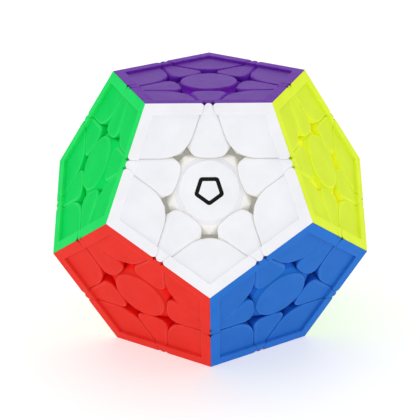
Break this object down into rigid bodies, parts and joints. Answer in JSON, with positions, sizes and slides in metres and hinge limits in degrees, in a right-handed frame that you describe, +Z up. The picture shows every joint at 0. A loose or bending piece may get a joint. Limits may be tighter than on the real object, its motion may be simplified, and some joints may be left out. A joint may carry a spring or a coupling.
{
  "type": "dodecahedral twisty puzzle",
  "caption": "Dodecahedral twisty puzzle in plain coloured plastic; every face layer turns about its own screw on a hidden core.",
  "frame": {"origin": "middle of the pink face that the puzzle rests on", "axes": "+Z up through the middle of the purple face, -Y out towards the side of the white face, +X to the right of the white face"},
  "size_m": [0.0798, 0.084, 0.0679],
  "materials": {
    "purple_plastic": "satin",
    "white_plastic": "satin",
    "yellow_plastic": "satin",
    "orange_plastic": "satin",
    "sky_plastic": "satin",
    "green_plastic": "satin",
    "blue_plastic": "satin",
    "lime_plastic": "satin",
    "grey_plastic": "satin",
    "cream_plastic": "satin",
    "red_plastic": "satin",
    "pink_plastic": "satin",
    "core_plastic": "matte"
  },
  "bodies": {
    "core_and_resting_face": {"core": "core_plastic", "pink_centre": "pink_plastic"},
    "purple_layer": {"purple_centre": "purple_plastic"},
    "white_layer": {"white_centre": "white_plastic"},
    "yellow_layer": {"yellow_centre": "yellow_plastic"},
    "orange_layer": {"orange_centre": "orange_plastic"},
    "sky_layer": {"sky_centre": "sky_plastic"},
    "green_layer": {"green_centre": "green_plastic"},
    "blue_layer": {"blue_centre_and_pink_edge": "blue_plastic"},
    "lime_layer": {"lime_centre_and_pink_edge": "lime_plastic"},
    "grey_layer": {"grey_centre_and_pink_edge": "grey_plastic"},
    "cream_layer": {"cream_centre_and_pink_edge": "cream_plastic"},
    "red_layer": {"red_centre_and_pink_edge": "red_plastic"},
    "purple_white_piece": {"purple_white_edge": "purple_plastic"},
    "purple_yellow_piece": {"purple_yellow_edge": "purple_plastic"},
    "purple_orange_piece": {"purple_orange_edge": "purple_plastic"},
    "purple_sky_piece": {"purple_sky_edge": "purple_plastic"},
    "purple_green_piece": {"purple_green_edge": "purple_plastic"},
    "white_yellow_piece": {"white_yellow_edge": "white_plastic"},
    "white_green_piece": {"white_green_edge": "white_plastic"},
    "white_blue_piece": {"white_blue_edge": "white_plastic"},
    "white_red_piece": {"white_red_edge": "white_plastic"},
    "yellow_orange_piece": {"yellow_orange_edge": "yellow_plastic"},
    "yellow_blue_piece": {"yellow_blue_edge": "yellow_plastic"},
    "yellow_lime_piece": {"yellow_lime_edge": "yellow_plastic"},
    "orange_sky_piece": {"orange_sky_edge": "orange_plastic"},
    "orange_lime_piece": {"orange_lime_edge": "orange_plastic"},
    "orange_grey_piece": {"orange_grey_edge": "orange_plastic"},
    "sky_green_piece": {"sky_green_edge": "sky_plastic"},
    "sky_grey_piece": {"sky_grey_edge": "sky_plastic"},
    "sky_cream_piece": {"sky_cream_edge": "sky_plastic"},
    "green_cream_piece": {"green_cream_edge": "green_plastic"},
    "green_red_piece": {"green_red_edge": "green_plastic"},
    "blue_lime_pieces": {"blue_lime_edge": "blue_plastic", "blue_lime_pink_corner": "blue_plastic"},
    "blue_red_pieces": {"blue_red_edge": "blue_plastic", "blue_red_pink_corner": "blue_plastic"},
    "lime_grey_pieces": {"lime_grey_edge": "lime_plastic", "lime_grey_pink_corner": "lime_plastic"},
    "grey_cream_pieces": {"grey_cream_edge": "grey_plastic", "grey_cream_pink_corner": "grey_plastic"},
    "cream_red_pieces": {"cream_red_edge": "cream_plastic", "cream_red_pink_corner": "cream_plastic"},
    "purple_white_yellow_piece": {"purple_white_yellow_corner": "purple_plastic"},
    "purple_white_green_piece": {"purple_white_green_corner": "purple_plastic"},
    "purple_yellow_orange_piece": {"purple_yellow_orange_corner": "purple_plastic"},
    "purple_orange_sky_piece": {"purple_orange_sky_corner": "purple_plastic"},
    "purple_sky_green_piece": {"purple_sky_green_corner": "purple_plastic"},
    "white_yellow_blue_piece": {"white_yellow_blue_corner": "white_plastic"},
    "white_green_red_piece": {"white_green_red_corner": "white_plastic"},
    "white_blue_red_piece": {"white_blue_red_corner": "white_plastic"},
    "yellow_orange_lime_piece": {"yellow_orange_lime_corner": "yellow_plastic"},
    "yellow_blue_lime_piece": {"yellow_blue_lime_corner": "yellow_plastic"},
    "orange_sky_grey_piece": {"orange_sky_grey_corner": "orange_plastic"},
    "orange_lime_grey_piece": {"orange_lime_grey_corner": "orange_plastic"},
    "sky_green_cream_piece": {"sky_green_cream_corner": "sky_plastic"},
    "sky_grey_cream_piece": {"sky_grey_cream_corner": "sky_plastic"},
    "green_cream_red_piece": {"green_cream_red_corner": "green_plastic"}
  },
  "joints": [
    {"name": "layer_01_white_turn", "type": "hinge", "parent": "core_and_resting_face", "child": "white_layer", "pos_m": [0, 0, 0.03396], "axis": [0, -0.8944, 0.4472], "continuous": true},
    {"name": "layer_02_orange_turn", "type": "hinge", "parent": "core_and_resting_face", "child": "orange_layer", "pos_m": [0, 0, 0.03396], "axis": [0.5257, 0.7236, 0.4472], "continuous": true},
    {"name": "layer_03_purple_turn", "type": "hinge", "parent": "core_and_resting_face", "child": "purple_layer", "pos_m": [0, 0, 0.03396], "axis": [0, 0, 1], "range_deg": [-360, 360]},
    {"name": "layer_04_yellow_turn", "type": "hinge", "parent": "core_and_resting_face", "child": "yellow_layer", "pos_m": [0, 0, 0.03396], "axis": [0.8507, -0.2764, 0.4472], "range_deg": [-360, 360]},
    {"name": "layer_05_sky_turn", "type": "hinge", "parent": "core_and_resting_face", "child": "sky_layer", "pos_m": [0, 0, 0.03396], "axis": [-0.5257, 0.7236, 0.4472], "range_deg": [-360, 360]},
    {"name": "layer_06_green_turn", "type": "hinge", "parent": "core_and_resting_face", "child": "green_layer", "pos_m": [0, 0, 0.03396], "axis": [-0.8507, -0.2764, 0.4472], "range_deg": [-360, 360]},
    {"name": "layer_07_blue_turn", "type": "hinge", "parent": "core_and_resting_face", "child": "blue_layer", "pos_m": [0, 0, 0.03396], "axis": [0.5257, -0.7236, -0.4472], "range_deg": [-360, 360]},
    {"name": "layer_08_lime_turn", "type": "hinge", "parent": "core_and_resting_face", "child": "lime_layer", "pos_m": [0, 0, 0.03396], "axis": [0.8507, 0.2764, -0.4472], "range_deg": [-360, 360]},
    {"name": "layer_09_grey_turn", "type": "hinge", "parent": "core_and_resting_face", "child": "grey_layer", "pos_m": [0, 0, 0.03396], "axis": [0, 0.8944, -0.4472], "range_deg": [-360, 360]},
    {"name": "layer_10_cream_turn", "type": "hinge", "parent": "core_and_resting_face", "child": "cream_layer", "pos_m": [0, 0, 0.03396], "axis": [-0.8507, 0.2764, -0.4472], "range_deg": [-360, 360]},
    {"name": "layer_11_red_turn", "type": "hinge", "parent": "core_and_resting_face", "child": "red_layer", "pos_m": [0, 0, 0.03396], "axis": [-0.5257, -0.7236, -0.4472], "range_deg": [-360, 360]},
    {"name": "purple_white_edge_with_white", "type": "hinge", "parent": "purple_layer", "child": "purple_white_piece", "pos_m": [0, 0, 0.03396], "axis": [0, -0.8944, 0.4472], "continuous": true},
    {"name": "purple_yellow_edge_with_yellow", "type": "hinge", "parent": "purple_layer", "child": "purple_yellow_piece", "pos_m": [0, 0, 0.03396], "axis": [0.8507, -0.2764, 0.4472], "range_deg": [-360, 360]},
    {"name": "purple_orange_edge_with_orange", "type": "hinge", "parent": "purple_layer", "child": "purple_orange_piece", "pos_m": [0, 0, 0.03396], "axis": [0.5257, 0.7236, 0.4472], "continuous": true},
    {"name": "purple_sky_edge_with_sky", "type": "hinge", "parent": "purple_layer", "child": "purple_sky_piece", "pos_m": [0, 0, 0.03396], "axis": [-0.5257, 0.7236, 0.4472], "range_deg": [-360, 360]},
    {"name": "purple_green_edge_with_green", "type": "hinge", "parent": "purple_layer", "child": "purple_green_piece", "pos_m": [0, 0, 0.03396], "axis": [-0.8507, -0.2764, 0.4472], "range_deg": [-360, 360]},
    {"name": "white_yellow_edge_with_yellow", "type": "hinge", "parent": "white_layer", "child": "white_yellow_piece", "pos_m": [0, 0, 0.03396], "axis": [0.8507, -0.2764, 0.4472], "range_deg": [-360, 360]},
    {"name": "white_green_edge_with_green", "type": "hinge", "parent": "white_layer", "child": "white_green_piece", "pos_m": [0, 0, 0.03396], "axis": [-0.8507, -0.2764, 0.4472], "range_deg": [-360, 360]},
    {"name": "white_blue_edge_with_blue", "type": "hinge", "parent": "white_layer", "child": "white_blue_piece", "pos_m": [0, 0, 0.03396], "axis": [0.5257, -0.7236, -0.4472], "range_deg": [-360, 360]},
    {"name": "white_red_edge_with_red", "type": "hinge", "parent": "white_layer", "child": "white_red_piece", "pos_m": [0, 0, 0.03396], "axis": [-0.5257, -0.7236, -0.4472], "range_deg": [-360, 360]},
    {"name": "yellow_orange_edge_with_orange", "type": "hinge", "parent": "yellow_layer", "child": "yellow_orange_piece", "pos_m": [0, 0, 0.03396], "axis": [0.5257, 0.7236, 0.4472], "continuous": true},
    {"name": "yellow_blue_edge_with_blue", "type": "hinge", "parent": "yellow_layer", "child": "yellow_blue_piece", "pos_m": [0, 0, 0.03396], "axis": [0.5257, -0.7236, -0.4472], "range_deg": [-360, 360]},
    {"name": "yellow_lime_edge_with_lime", "type": "hinge", "parent": "yellow_layer", "child": "yellow_lime_piece", "pos_m": [0, 0, 0.03396], "axis": [0.8507, 0.2764, -0.4472], "range_deg": [-360, 360]},
    {"name": "orange_sky_edge_with_sky", "type": "hinge", "parent": "orange_layer", "child": "orange_sky_piece", "pos_m": [0, 0, 0.03396], "axis": [-0.5257, 0.7236, 0.4472], "range_deg": [-360, 360]},
    {"name": "orange_lime_edge_with_lime", "type": "hinge", "parent": "orange_layer", "child": "orange_lime_piece", "pos_m": [0, 0, 0.03396], "axis": [0.8507, 0.2764, -0.4472], "range_deg": [-360, 360]},
    {"name": "orange_grey_edge_with_grey", "type": "hinge", "parent": "orange_layer", "child": "orange_grey_piece", "pos_m": [0, 0, 0.03396], "axis": [0, 0.8944, -0.4472], "range_deg": [-360, 360]},
    {"name": "sky_green_edge_with_green", "type": "hinge", "parent": "sky_layer", "child": "sky_green_piece", "pos_m": [0, 0, 0.03396], "axis": [-0.8507, -0.2764, 0.4472], "range_deg": [-360, 360]},
    {"name": "sky_grey_edge_with_grey", "type": "hinge", "parent": "sky_layer", "child": "sky_grey_piece", "pos_m": [0, 0, 0.03396], "axis": [0, 0.8944, -0.4472], "range_deg": [-360, 360]},
    {"name": "sky_cream_edge_with_cream", "type": "hinge", "parent": "sky_layer", "child": "sky_cream_piece", "pos_m": [0, 0, 0.03396], "axis": [-0.8507, 0.2764, -0.4472], "range_deg": [-360, 360]},
    {"name": "green_cream_edge_with_cream", "type": "hinge", "parent": "green_layer", "child": "green_cream_piece", "pos_m": [0, 0, 0.03396], "axis": [-0.8507, 0.2764, -0.4472], "range_deg": [-360, 360]},
    {"name": "green_red_edge_with_red", "type": "hinge", "parent": "green_layer", "child": "green_red_piece", "pos_m": [0, 0, 0.03396], "axis": [-0.5257, -0.7236, -0.4472], "range_deg": [-360, 360]},
    {"name": "blue_lime_edge_with_lime", "type": "hinge", "parent": "blue_layer", "child": "blue_lime_pieces", "pos_m": [0, 0, 0.03396], "axis": [0.8507, 0.2764, -0.4472], "range_deg": [-360, 360]},
    {"name": "blue_red_edge_with_red", "type": "hinge", "parent": "blue_layer", "child": "blue_red_pieces", "pos_m": [0, 0, 0.03396], "axis": [-0.5257, -0.7236, -0.4472], "range_deg": [-360, 360]},
    {"name": "lime_grey_edge_with_grey", "type": "hinge", "parent": "lime_layer", "child": "lime_grey_pieces", "pos_m": [0, 0, 0.03396], "axis": [0, 0.8944, -0.4472], "range_deg": [-360, 360]},
    {"name": "grey_cream_edge_with_cream", "type": "hinge", "parent": "grey_layer", "child": "grey_cream_pieces", "pos_m": [0, 0, 0.03396], "axis": [-0.8507, 0.2764, -0.4472], "range_deg": [-360, 360]},
    {"name": "cream_red_edge_with_red", "type": "hinge", "parent": "cream_layer", "child": "cream_red_pieces", "pos_m": [0, 0, 0.03396], "axis": [-0.5257, -0.7236, -0.4472], "range_deg": [-360, 360]},
    {"name": "purple_white_yellow_corner_with_yellow", "type": "hinge", "parent": "purple_white_piece", "child": "purple_white_yellow_piece", "pos_m": [0, 0, 0.03396], "axis": [0.8507, -0.2764, 0.4472], "range_deg": [-360, 360]},
    {"name": "purple_white_green_corner_with_green", "type": "hinge", "parent": "purple_white_piece", "child": "purple_white_green_piece", "pos_m": [0, 0, 0.03396], "axis": [-0.8507, -0.2764, 0.4472], "range_deg": [-360, 360]},
    {"name": "purple_yellow_orange_corner_with_orange", "type": "hinge", "parent": "purple_yellow_piece", "child": "purple_yellow_orange_piece", "pos_m": [0, 0, 0.03396], "axis": [0.5257, 0.7236, 0.4472], "continuous": true},
    {"name": "purple_orange_sky_corner_with_sky", "type": "hinge", "parent": "purple_orange_piece", "child": "purple_orange_sky_piece", "pos_m": [0, 0, 0.03396], "axis": [-0.5257, 0.7236, 0.4472], "range_deg": [-360, 360]},
    {"name": "purple_sky_green_corner_with_green", "type": "hinge", "parent": "purple_sky_piece", "child": "purple_sky_green_piece", "pos_m": [0, 0, 0.03396], "axis": [-0.8507, -0.2764, 0.4472], "range_deg": [-360, 360]},
    {"name": "white_yellow_blue_corner_with_blue", "type": "hinge", "parent": "white_yellow_piece", "child": "white_yellow_blue_piece", "pos_m": [0, 0, 0.03396], "axis": [0.5257, -0.7236, -0.4472], "range_deg": [-360, 360]},
    {"name": "white_green_red_corner_with_red", "type": "hinge", "parent": "white_green_piece", "child": "white_green_red_piece", "pos_m": [0, 0, 0.03396], "axis": [-0.5257, -0.7236, -0.4472], "range_deg": [-360, 360]},
    {"name": "white_blue_red_corner_with_red", "type": "hinge", "parent": "white_blue_piece", "child": "white_blue_red_piece", "pos_m": [0, 0, 0.03396], "axis": [-0.5257, -0.7236, -0.4472], "range_deg": [-360, 360]},
    {"name": "yellow_orange_lime_corner_with_lime", "type": "hinge", "parent": "yellow_orange_piece", "child": "yellow_orange_lime_piece", "pos_m": [0, 0, 0.03396], "axis": [0.8507, 0.2764, -0.4472], "range_deg": [-360, 360]},
    {"name": "yellow_blue_lime_corner_with_lime", "type": "hinge", "parent": "yellow_blue_piece", "child": "yellow_blue_lime_piece", "pos_m": [0, 0, 0.03396], "axis": [0.8507, 0.2764, -0.4472], "range_deg": [-360, 360]},
    {"name": "orange_sky_grey_corner_with_grey", "type": "hinge", "parent": "orange_sky_piece", "child": "orange_sky_grey_piece", "pos_m": [0, 0, 0.03396], "axis": [0, 0.8944, -0.4472], "range_deg": [-360, 360]},
    {"name": "orange_lime_grey_corner_with_grey", "type": "hinge", "parent": "orange_lime_piece", "child": "orange_lime_grey_piece", "pos_m": [0, 0, 0.03396], "axis": [0, 0.8944, -0.4472], "range_deg": [-360, 360]},
    {"name": "sky_green_cream_corner_with_cream", "type": "hinge", "parent": "sky_green_piece", "child": "sky_green_cream_piece", "pos_m": [0, 0, 0.03396], "axis": [-0.8507, 0.2764, -0.4472], "range_deg": [-360, 360]},
    {"name": "sky_grey_cream_corner_with_cream", "type": "hinge", "parent": "sky_grey_piece", "child": "sky_grey_cream_piece", "pos_m": [0, 0, 0.03396], "axis": [-0.8507, 0.2764, -0.4472], "range_deg": [-360, 360]},
    {"name": "green_cream_red_corner_with_red", "type": "hinge", "parent": "green_cream_piece", "child": "green_cream_red_piece", "pos_m": [0, 0, 0.03396], "axis": [-0.5257, -0.7236, -0.4472], "range_deg": [-360, 360]}
  ],
  "couplings": [
    {"joint": "purple_white_edge_with_white", "follows": "layer_01_white_turn", "ratio": 1},
    {"joint": "purple_yellow_edge_with_yellow", "follows": "layer_04_yellow_turn", "ratio": 1},
    {"joint": "purple_orange_edge_with_orange", "follows": "layer_02_orange_turn", "ratio": 1},
    {"joint": "purple_sky_edge_with_sky", "follows": "layer_05_sky_turn", "ratio": 1},
    {"joint": "purple_green_edge_with_green", "follows": "layer_06_green_turn", "ratio": 1},
    {"joint": "white_yellow_edge_with_yellow", "follows": "layer_04_yellow_turn", "ratio": 1},
    {"joint": "white_green_edge_with_green", "follows": "layer_06_green_turn", "ratio": 1},
    {"joint": "white_blue_edge_with_blue", "follows": "layer_07_blue_turn", "ratio": 1},
    {"joint": "white_red_edge_with_red", "follows": "layer_11_red_turn", "ratio": 1},
    {"joint": "yellow_orange_edge_with_orange", "follows": "layer_02_orange_turn", "ratio": 1},
    {"joint": "yellow_blue_edge_with_blue", "follows": "layer_07_blue_turn", "ratio": 1},
    {"joint": "yellow_lime_edge_with_lime", "follows": "layer_08_lime_turn", "ratio": 1},
    {"joint": "orange_sky_edge_with_sky", "follows": "layer_05_sky_turn", "ratio": 1},
    {"joint": "orange_lime_edge_with_lime", "follows": "layer_08_lime_turn", "ratio": 1},
    {"joint": "orange_grey_edge_with_grey", "follows": "layer_09_grey_turn", "ratio": 1},
    {"joint": "sky_green_edge_with_green", "follows": "layer_06_green_turn", "ratio": 1},
    {"joint": "sky_grey_edge_with_grey", "follows": "layer_09_grey_turn", "ratio": 1},
    {"joint": "sky_cream_edge_with_cream", "follows": "layer_10_cream_turn", "ratio": 1},
    {"joint": "green_cream_edge_with_cream", "follows": "layer_10_cream_turn", "ratio": 1},
    {"joint": "green_red_edge_with_red", "follows": "layer_11_red_turn", "ratio": 1},
    {"joint": "blue_lime_edge_with_lime", "follows": "layer_08_lime_turn", "ratio": 1},
    {"joint": "blue_red_edge_with_red", "follows": "layer_11_red_turn", "ratio": 1},
    {"joint": "lime_grey_edge_with_grey", "follows": "layer_09_grey_turn", "ratio": 1},
    {"joint": "grey_cream_edge_with_cream", "follows": "layer_10_cream_turn", "ratio": 1},
    {"joint": "cream_red_edge_with_red", "follows": "layer_11_red_turn", "ratio": 1},
    {"joint": "purple_white_yellow_corner_with_yellow", "follows": "layer_04_yellow_turn", "ratio": 1},
    {"joint": "purple_white_green_corner_with_green", "follows": "layer_06_green_turn", "ratio": 1},
    {"joint": "purple_yellow_orange_corner_with_orange", "follows": "layer_02_orange_turn", "ratio": 1},
    {"joint": "purple_orange_sky_corner_with_sky", "follows": "layer_05_sky_turn", "ratio": 1},
    {"joint": "purple_sky_green_corner_with_green", "follows": "layer_06_green_turn", "ratio": 1},
    {"joint": "white_yellow_blue_corner_with_blue", "follows": "layer_07_blue_turn", "ratio": 1},
    {"joint": "white_green_red_corner_with_red", "follows": "layer_11_red_turn", "ratio": 1},
    {"joint": "white_blue_red_corner_with_red", "follows": "layer_11_red_turn", "ratio": 1},
    {"joint": "yellow_orange_lime_corner_with_lime", "follows": "layer_08_lime_turn", "ratio": 1},
    {"joint": "yellow_blue_lime_corner_with_lime", "follows": "layer_08_lime_turn", "ratio": 1},
    {"joint": "orange_sky_grey_corner_with_grey", "follows": "layer_09_grey_turn", "ratio": 1},
    {"joint": "orange_lime_grey_corner_with_grey", "follows": "layer_09_grey_turn", "ratio": 1},
    {"joint": "sky_green_cream_corner_with_cream", "follows": "layer_10_cream_turn", "ratio": 1},
    {"joint": "sky_grey_cream_corner_with_cream", "follows": "layer_10_cream_turn", "ratio": 1},
    {"joint": "green_cream_red_corner_with_red", "follows": "layer_11_red_turn", "ratio": 1}
  ]
}
